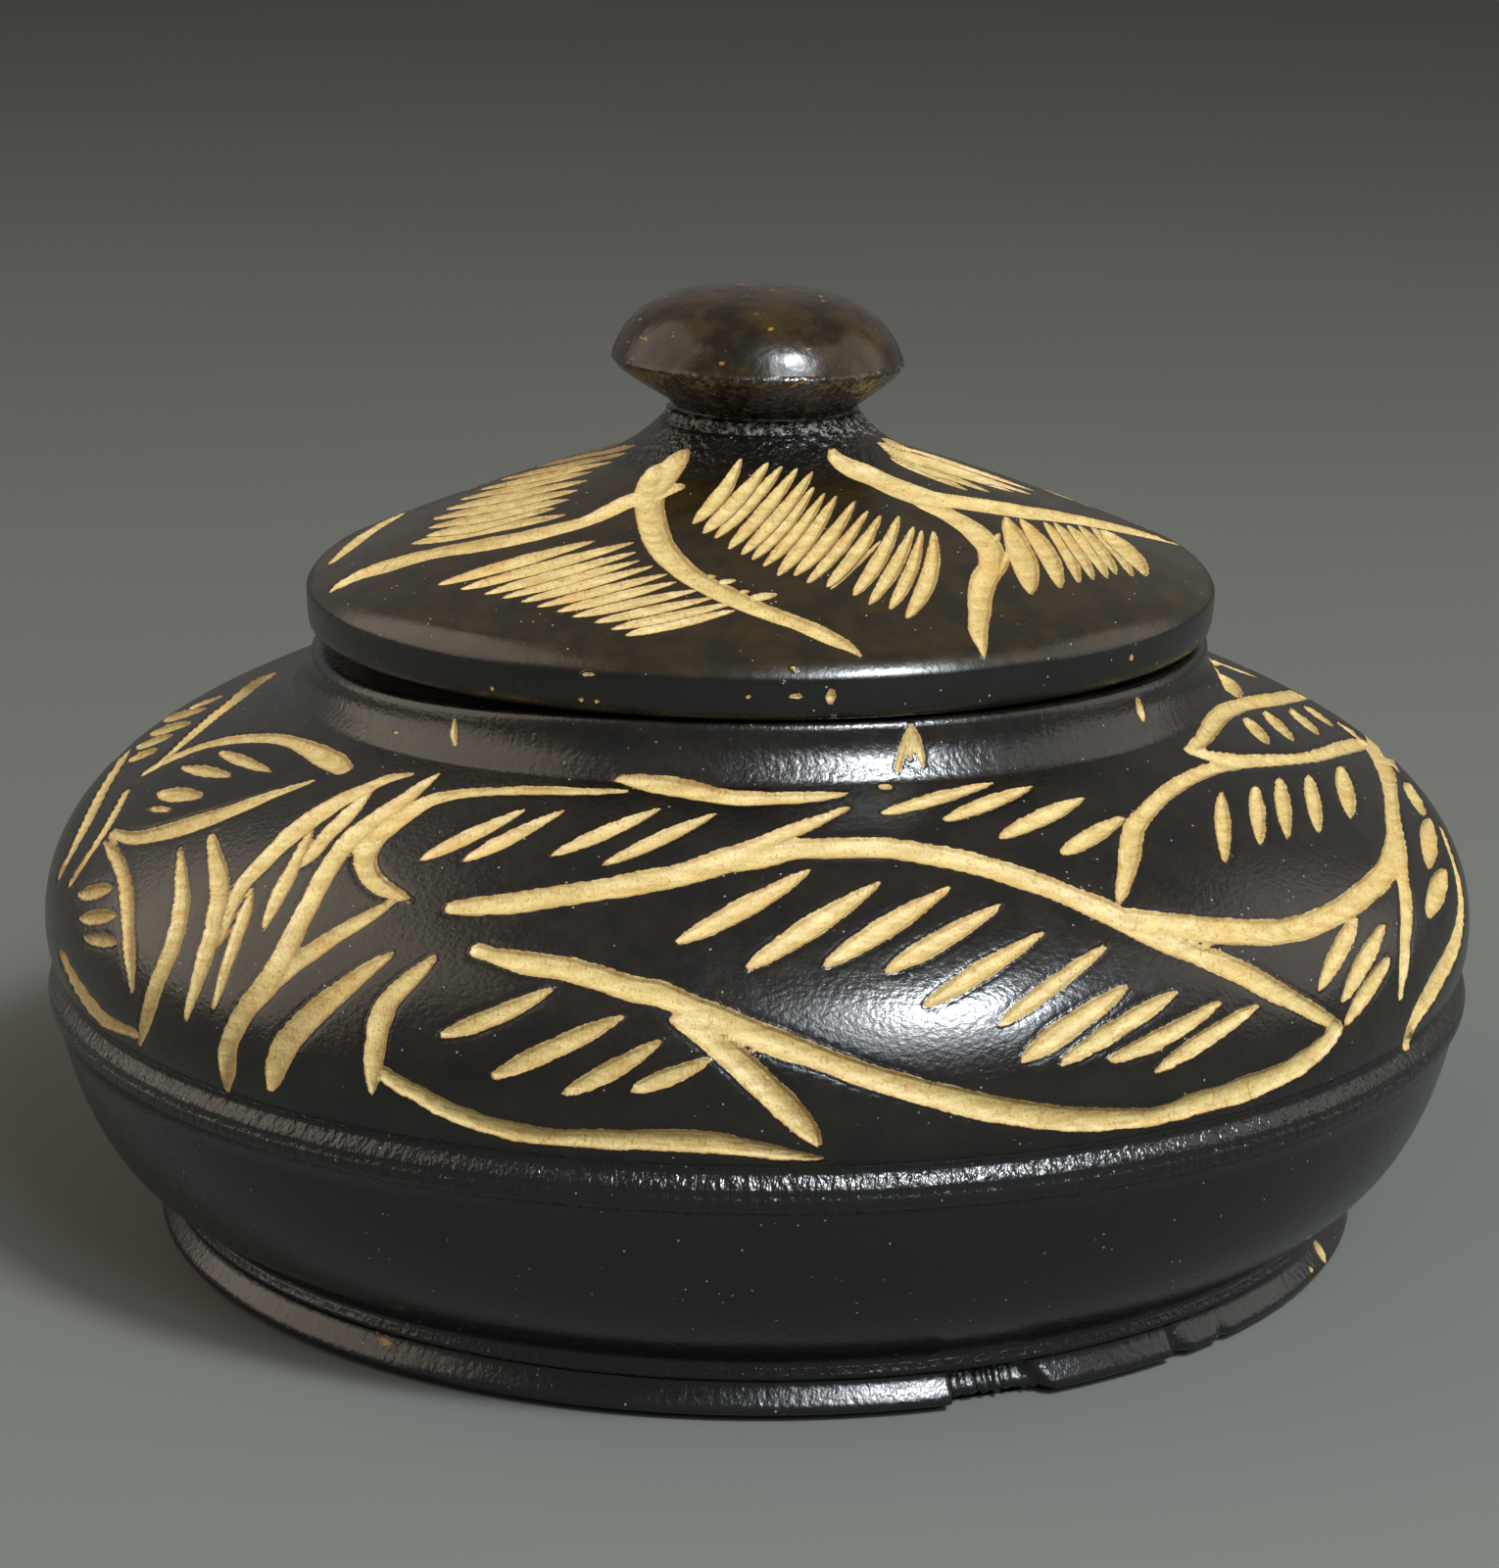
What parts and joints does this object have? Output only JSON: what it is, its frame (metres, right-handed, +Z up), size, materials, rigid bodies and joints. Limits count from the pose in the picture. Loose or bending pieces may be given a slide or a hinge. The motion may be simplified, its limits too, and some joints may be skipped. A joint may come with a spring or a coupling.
{
  "type": "lidded wooden bowl",
  "caption": "Small turned wooden bowl with a drop-in domed lid and mushroom knob, painted black and carved with pale leaf and vine strokes, for keeping small things.",
  "frame": {"origin": "centre of the flat ring that the bowl stands on, at the bottom of the foot", "axes": "+Z up along the turning axis, through the lid and the knob; X and Y lie in the plane that the bowl stands on, with -Y towards the side that the picture shows"},
  "size_m": [0.1322, 0.1322, 0.0864],
  "materials": {
    "bowl_painted_wood": "satin black paint over pale wood, carved through with gouge strokes that show the bare yellow-tan wood",
    "lid_painted_wood": "satin brown-black paint over pale wood, carved through with gouge strokes that show the bare yellow-tan wood",
    "knob_painted_wood": "satin brown-black paint, rubbed a little on the crown"
  },
  "bodies": {
    "bowl": {"bowl": "bowl_painted_wood"},
    "lid": {"lid": "lid_painted_wood", "knob": "knob_painted_wood"}
  },
  "joints": [
    {"name": "lid_lift", "type": "slide", "parent": "bowl", "child": "lid", "axis": [0, 0, 1], "range_m": [0, 0.07]}
  ]
}
